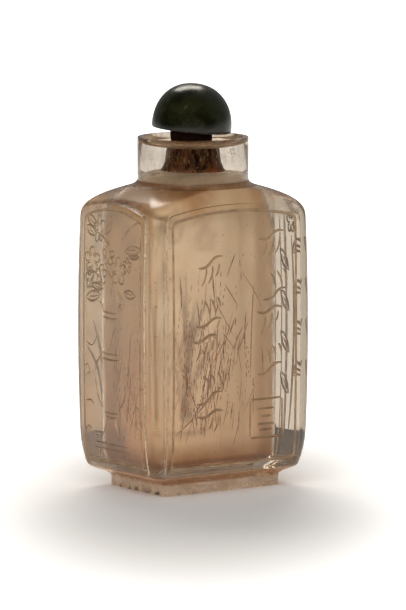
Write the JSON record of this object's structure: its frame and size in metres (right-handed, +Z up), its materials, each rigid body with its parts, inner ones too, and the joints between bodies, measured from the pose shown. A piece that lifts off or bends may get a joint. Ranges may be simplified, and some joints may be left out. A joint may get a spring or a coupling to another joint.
{
  "type": "snuff bottle",
  "caption": "Small upright bottle of carved clear crystal with raised arched panels, a round neck and an oblong foot, closed by a domed stone stopper on a cork.",
  "frame": {"origin": "centre of the underside that the bottle stands on", "axes": "+Z up along the neck, X across the wide inscribed panel, which faces -Y"},
  "size_m": [0.0336, 0.0252, 0.0691],
  "materials": {
    "crystal": "polished, with a brown film on the inner wall",
    "jade": "polished",
    "cork": "dark, matte"
  },
  "bodies": {
    "root": {"bottle": "crystal", "stopper_cap": "jade", "stopper_cork": "cork"}
  },
  "joints": []
}
